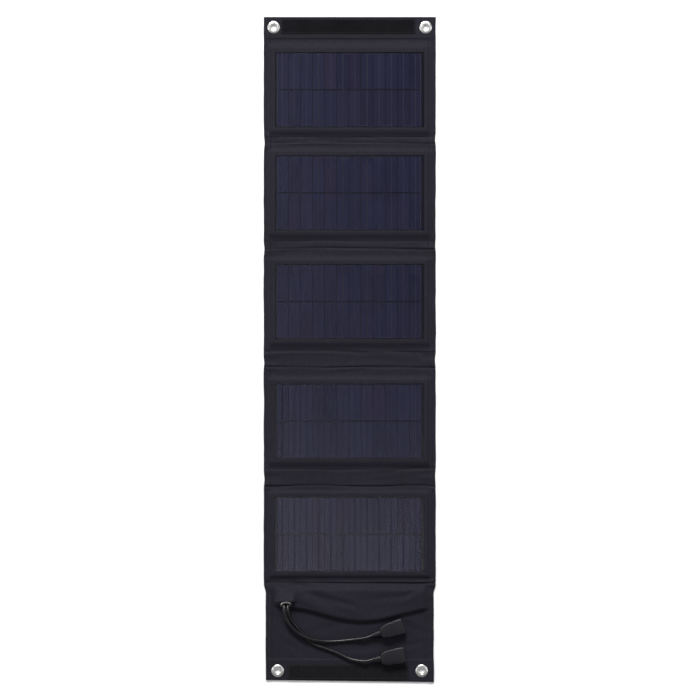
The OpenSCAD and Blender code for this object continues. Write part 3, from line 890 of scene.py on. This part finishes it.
# Where the grids need closer lines: window and board edges, hems, folds and the flap's corners
X_FEATURES = [s * v for s in (-1, 1) for v in (WINDOW_X, BOARD_X + 1.5 * MM, STRIP_X - SIDE_HEM)]
X_FEATURES += [s * (STRIP_X - v * MM) for s in (-1, 1) for v in (0.25, 0.6, 1.0)]
X_FEATURES += [s * v * MM for s in (-1, 1) for v in (66, 69, 72, 76, 79)]
Y_FEATURES = [v for low, high in BOARDS
              for v in (low.y + RIM_LAP, high.y - RIM_LAP, low.y - 1.5 * MM, high.y + 1.5 * MM)]
Y_FEATURES += [fold + offset * MM for fold, creases in zip(FOLDS, CREASES)
               for offset, _ in creases]
Y_FEATURES += [TOP_HEM_Y, LOW_HEM_Y]
Y_FEATURES += [s * (END_Y - v * MM) for s in (-1, 1) for v in (0.3, 0.9, 7, 14)]


def sheet_lines(number):
    """The grid of sheet number 0 to 5, each from one laminate's middle to the next."""
    high = END_Y if number == 0 else MIDS[number - 1]
    low = -END_Y if number == PANELS else MIDS[number]
    xs, ys = X_FEATURES, Y_FEATURES
    step = 2.2 * MM
    if number == PANELS:
        step = 1.5 * MM
        xs = xs + [OUTLET.x + i * 1.1 * MM for i in range(-10, 11)]
        ys = ys + [OUTLET.y + i * 0.55 * MM for i in range(-12, 17)]
    return (grid_lines(-STRIP_X, STRIP_X, step, xs), grid_lines(low, high, step, ys))


def grid_sheet(name, number, point, thickness, material, windows):
    """A sheet of cloth and its flat length. Its holes, and its windows if any, are left out."""
    xs, ys = sheet_lines(number)
    points = [point(x, y) for y in ys for x in xs]
    wide = len(xs)
    faces = []
    for j in range(len(ys) - 1):
        for i in range(wide - 1):
            corner = j * wide + i
            if windows and in_window((xs[i] + xs[i + 1]) / 2, (ys[j] + ys[j + 1]) / 2):
                continue
            corners = (corner, corner + 1, corner + wide + 1, corner + wide)
            if not in_hole(sum((points[c] for c in corners), Vector()) / 4):
                faces.append(corners)
    used = sorted({c for face in faces for c in face})
    index = {c: i for i, c in enumerate(used)}
    made = piece(name, [points[c] for c in used],
                 [tuple(index[c] for c in face) for face in faces], material)
    solid = made.modifiers.new("thickness", "SOLIDIFY")
    solid.thickness, solid.offset = thickness, -1
    apply_modifiers(made)
    for vertex in made.data.vertices:
        vertex.co.z = max(vertex.co.z, CLEAR_OF_FLOOR)
    return made, ys[-1] - ys[0]


def follow(made, number):
    """Sheet 0 rides on the first panel; the others keep their place, their transforms baked into their points."""
    if number == 0:
        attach(made, BODIES[0])
        return
    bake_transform(made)


def make_covers():
    """Front and back cloth in sheets that meet at the laminates' middles."""
    for number in range(PANELS + 1):
        front, length = grid_sheet(f"front_cloth_{number + 1}", number, cloth_point, FRONT_CLOTH,
                                   "cover", True)
        follow(front, number)
        back, _ = grid_sheet(f"back_cloth_{number + 1}", number, back_point, BACK_CLOTH,
                             "lining", False)
        follow(back, number)
        covered = [k for k in (number, number + 1) if 1 <= k <= PANELS]
        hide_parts(*[f"front_cover_{k}" for k in covered])
        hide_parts(*[f"back_cover_{k}" for k in covered])
        if number == 0:
            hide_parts("top_hem")
        if number == PANELS:
            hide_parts("flap_front", "bottom_hem")
            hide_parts("flap_back")


# --- Flat leads under the cloth ------------------------------------------------------------

LEAD_W = 4 * MM
LEAD_STEPS = 24


def make_leads():
    """Leads that run across each fold, from one laminate's edge to the next part."""
    low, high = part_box("leads_1")
    z0, z1 = low.z + 0.02 * MM, high.z - 0.02 * MM
    for number in range(1, PANELS + 1):
        last = number == PANELS
        top = BOARDS[number - 1][0].y
        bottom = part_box("regulator_base")[1].y if last else BOARDS[number][1].y
        parts = Parts()
        for side in (-1, 1):
            centre = side * (high.x - LEAD_W / 2)
            x0, x1 = centre - LEAD_W / 2, centre + LEAD_W / 2
            rings = []
            for i in range(LEAD_STEPS + 1):
                y = top + (bottom - top) * i / LEAD_STEPS
                rings += [(x0, y, z0), (x1, y, z0), (x1, y, z1), (x0, y, z1)]
            parts.add(rings, ring_faces(LEAD_STEPS + 1, 4))
        made = parts.piece(f"lead_pair_{number}", "copper", "leads")
        follow(made, number)
        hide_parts(f"leads_{number}", *(["flap_leads"] if last else []))


# --- Laminates -----------------------------------------------------------------------------

ROW_Y = 18.7 * MM
TAB_Y = 17.3 * MM
BAR_X = 71.6 * MM
RIBBON_H = 0.07 * MM


def make_cell_links():
    """Tabs that join neighbouring strips in series, and the two end bars of each laminate."""
    cell_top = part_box("cells_1")[1].z
    tab = rounded_box((12.6 * MM, 0.8 * MM, RIBBON_H), 0.2 * MM)
    bar = rounded_box((1.1 * MM, 72.5 * MM, RIBBON_H), 0.3 * MM)
    middle = CELL_X + CELLS_PER_ROW / 2 * CELL_PITCH
    for number, mid in enumerate(MIDS):
        parts = Parts()
        for row in (-1, 1):
            y = mid + row * ROW_Y + row * TAB_Y
            for i in range(2 if row > 0 else 1, CELLS_PER_ROW, 2):
                parts.add(*tab, Matrix.Translation((CELL_X + i * CELL_PITCH, y, cell_top)))
        for side in (-1, 1):
            parts.add(*bar, Matrix.Translation((middle + side * BAR_X, mid, cell_top)))
        made = parts.piece(f"cell_links_{number + 1}", "ribbon", "ribbons")
        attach(made, BODIES[number])


# --- Eyelets -------------------------------------------------------------------------------

def eyelet_profile(hole, barrel, rim, top, low, back):
    """Outline of an eyelet: domed flange, rolled lip, barrel, and edge rolled over behind."""
    dome = [(rim - 0.15 * MM, top), (rim, top + 0.25 * MM), (rim - 0.25 * MM, top + 0.55 * MM)]
    span = rim - 0.25 * MM - (hole + 0.9 * MM)
    for i in range(1, 6):
        t = i / 5
        dome.append((rim - 0.25 * MM - span * t,
                     top + (0.55 + 0.45 * math.sin(math.pi / 2 * t)) * MM))
    for i in range(1, 6):
        a = math.pi / 2 * i / 5
        dome.append((hole + 0.9 * MM * (1 - math.sin(a)), top + (0.1 + 0.9 * math.cos(a)) * MM))
    roll = []
    for i in range(9):
        a = math.pi + math.pi * i / 8
        roll.append((barrel + 0.2 * MM + (barrel - hole + 0.2 * MM) * math.cos(a),
                     low + 0.42 * MM + 0.42 * MM * math.sin(a)))
    return dome + roll + [(barrel, back), (barrel, top)]


BARREL_WALL = 0.6 * MM
FLANGE_R = 6.25 * MM

# Outline of a washer: radius and height, in millimetres
WASHER = [(3.75, 0.42), (6.0, 0.36), (6.25, 0.5), (6.25, 0.75), (5.9, 0.88), (3.75, 0.9)]


def make_eyelets():
    for name, body, end in (("top", "panel_1", 1), ("bottom", "flap", -1)):
        rings, washers = Parts(), Parts()
        for m in HOLES:
            x, y, _ = m["pos_m"]
            if y * end < 0:
                continue
            hole = m["dims"]["r_mm"] * MM
            place = Matrix.Translation((x, y, 0))
            rings.add(*lathe(eyelet_profile(hole, hole + BARREL_WALL, FLANGE_R, HEM_TOP,
                                            0, 0.5 * MM)), place)
            washers.add(*lathe([(r * MM, z * MM) for r, z in WASHER]), place)
        made = rings.piece(f"eyelets_{name}", "nickel", "eyelet_metal", 50)
        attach(made, body)
        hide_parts(f"{name}_eyelets")
        backs = washers.piece(f"washers_{name}", "nickel", "eyelet_metal", 50)
        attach(backs, body)
        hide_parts(f"{name}_washers")


def make_outlet():
    ring = Parts()
    ring.add(*lathe(eyelet_profile(OUTLET_HOLE, OUTLET_HOLE + BARREL_WALL, OUTLET_RIM,
                                   0, -1.5 * MM, -1.1 * MM)),
             Matrix.Translation(OUTLET) @ Matrix.Rotation(OUTLET_TILT, 4, "X"))
    made = ring.piece("outlet_eyelet", "nickel", "eyelet_metal", 50)
    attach(made, "flap")
    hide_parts("cable_eyelet")


# --- Closure strips ------------------------------------------------------------------------

CLOSURE_MARGIN = 1.9 * MM
TAPE_H = 0.45 * MM


def closure_thread(rng, hooks):
    """One hook, or one loop of its own size, as a bent thread, and its turn about Z."""
    turn = rng.uniform(-0.5, 0.5)
    if hooks:
        span, rise, sweep, thick = 0.42 * MM, 0.72 * MM, 1.35, 0.11 * MM
    else:
        turn += rng.uniform(0, math.pi)
        span, rise = rng.uniform(0.45, 0.75) * MM, rng.uniform(0.4, 0.7) * MM
        sweep, thick = 1.0, 0.08 * MM
    line = []
    for k in range(6):
        a = math.pi * sweep * k / 5
        line.append(Vector((-span * math.cos(a), 0, rise * math.sin(min(a, 3.6)))))
    points = [p + Vector((0, thick * u, thick * v)) for p in line
              for u, v in ((-1, -1), (1, -1), (1, 1), (-1, 1))]
    return points, ring_faces(6, 4), Matrix.Rotation(turn, 4, "Z")


def make_closures():
    """A tape with rows of hooks on the plain end, and one with loops on the flap."""
    rng = random.Random(7)
    for node, body, material, pitch in (("hook_strip", "panel_1", "hook", (1.55, 1.3)),
                                        ("loop_strip", "flap", "loop", (1.35, 1.25))):
        low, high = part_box(node)
        size, centre = high - low, (low + high) / 2
        base_z = HEM_TOP + 0.1 * MM
        parts = Parts()
        parts.add(*rounded_box((size.x, size.y, TAPE_H), 1.0 * MM),
                  Matrix.Translation((centre.x, centre.y, base_z)))
        span_x, span_y = size.x - 2 * CLOSURE_MARGIN, size.y - 2 * CLOSURE_MARGIN
        columns, rows = int(span_x / (pitch[0] * MM)), int(span_y / (pitch[1] * MM))
        for i in range(columns + 1):
            for j in range(rows + 1):
                points, faces, turn = closure_thread(rng, node == "hook_strip")
                place = Vector((low.x + CLOSURE_MARGIN + i * span_x / columns,
                                low.y + CLOSURE_MARGIN + j * span_y / rows, base_z + 0.42 * MM))
                place += Vector((rng.uniform(-0.25, 0.25) * MM, rng.uniform(-0.25, 0.25) * MM, 0))
                parts.add(points, faces, Matrix.Translation(place) @ turn)
        made = parts.piece(f"{node}_tape", material, material)
        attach(made, body)
        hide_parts(node)


# --- Stitches ------------------------------------------------------------------------------

STITCH_PITCH = 3.1 * MM
STITCH_LENGTH = 2.3 * MM
THREAD_R = 0.26 * MM


def stitch(parts, a, b):
    """One stitch from a to b: a short thread that dives into the cloth at both ends."""
    along = (b - a).normalized()
    side = along.cross(Vector((0, 0, 1))).normalized()
    up = side.cross(along)
    sink = up * 0.22 * MM
    points = [a - sink]
    for t in (0.2, 0.8):
        centre = a.lerp(b, t) + up * 0.06 * MM
        for j in range(5):
            angle = 2 * math.pi * j / 5
            points.append(centre + THREAD_R * (math.cos(angle) * side + math.sin(angle) * up))
    points.append(b - sink)
    faces = [(0, 1 + (j + 1) % 5, 1 + j) for j in range(5)]
    faces += [(1 + j, 1 + (j + 1) % 5, 6 + (j + 1) % 5, 6 + j) for j in range(5)]
    faces += [(6 + j, 6 + (j + 1) % 5, 11) for j in range(5)]
    parts.add(points, faces)


def sheet_at(y):
    return sum(y < mid for mid in MIDS)


def stitch_row(start, end):
    """Both ends of each stitch in a row from start to end."""
    count = int((end - start).length / STITCH_PITCH)
    step = (end - start) / count
    half = step.normalized() * STITCH_LENGTH / 2
    middles = [start + step * (i + 0.5) for i in range(count)]
    return [(middle - half, middle + half) for middle in middles]


def seam(groups, start, end):
    """A row of stitches from start to end, points (x, y) of the flat cut."""
    for a, b in stitch_row(Vector((*start, 0)), Vector((*end, 0))):
        stitch(groups[sheet_at((a.y + b.y) / 2)], cloth_point(a.x, a.y), cloth_point(b.x, b.y))


def make_stitches():
    """Seams along the side hems, round the windows, beside the creases and along the end hems."""
    groups = [Parts() for _ in range(PANELS + 1)]
    hem_line = STRIP_X - SIDE_HEM + 1.1 * MM
    for side in (-1, 1):
        seam(groups, (side * hem_line, END_Y - 3 * MM), (side * hem_line, 3 * MM - END_Y))
    for low, high in BOARDS:
        inset = RIM_LAP - 1.3 * MM
        x, y0, y1 = BOARD_X - inset, low.y + inset, high.y - inset
        corners = [(-x, y1), (x, y1), (x, y0), (-x, y0)]
        for a, b in zip(corners, corners[1:] + corners[:1]):
            seam(groups, a, b)
    across = STRIP_X - SIDE_HEM - 1 * MM
    for fold, creases in zip(FOLDS, CREASES):
        for offset, _ in creases:
            y = fold + (offset + (1.2 if offset > 0 else -1.2)) * MM
            seam(groups, (-across, y), (across, y))
    for inner, outward in HEMS:
        seam(groups, (-across, inner + outward * 1.8 * MM), (across, inner + outward * 1.8 * MM))
    for number, parts in enumerate(groups):
        made = parts.piece(f"stitches_{number + 1}", "thread", "cover_fabric", 60)
        follow(made, number)


def make_closure_stitches():
    for node, body in (("hook_strip", "panel_1"), ("loop_strip", "flap")):
        low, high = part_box(node)
        inset = 0.9 * MM
        x0, y0, x1, y1 = low.x + inset, low.y + inset, high.x - inset, high.y - inset
        corners = [Vector((x, y, HEM_TOP + 0.58 * MM))
                   for x, y in ((x0, y0), (x1, y0), (x1, y1), (x0, y1))]
        parts = Parts()
        for start, end in zip(corners, corners[1:] + corners[:1]):
            for a, b in stitch_row(start, end):
                stitch(parts, a, b)
        made = parts.piece(f"{node}_stitches", "thread", "cover_fabric", 60)
        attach(made, body)


# --- CAD nodes that stay -------------------------------------------------------------------

def finish_nodes():
    """Gives the CAD's own pieces that stay visible their materials."""
    looks = {"cells_": "cells", "ribbons_": "ribbon", "film_": "film", "backsheet_": "backsheet",
             "cable_washer": "nickel", "regulator_base": "case", "regulator_lid": "case",
             "regulator_board": "circuit"}
    for name, node in frame["nodes"].items():
        for start, material in looks.items():
            if name.startswith(start):
                node.data.materials.clear()
                node.data.materials.append(MATERIALS[material])


make_camera()
make_cords()
make_light()
make_floor(MATERIALS["floor"])
make_covers()
make_leads()
make_cell_links()
make_eyelets()
make_outlet()
make_closures()
make_stitches()
make_closure_stitches()
finish_nodes()
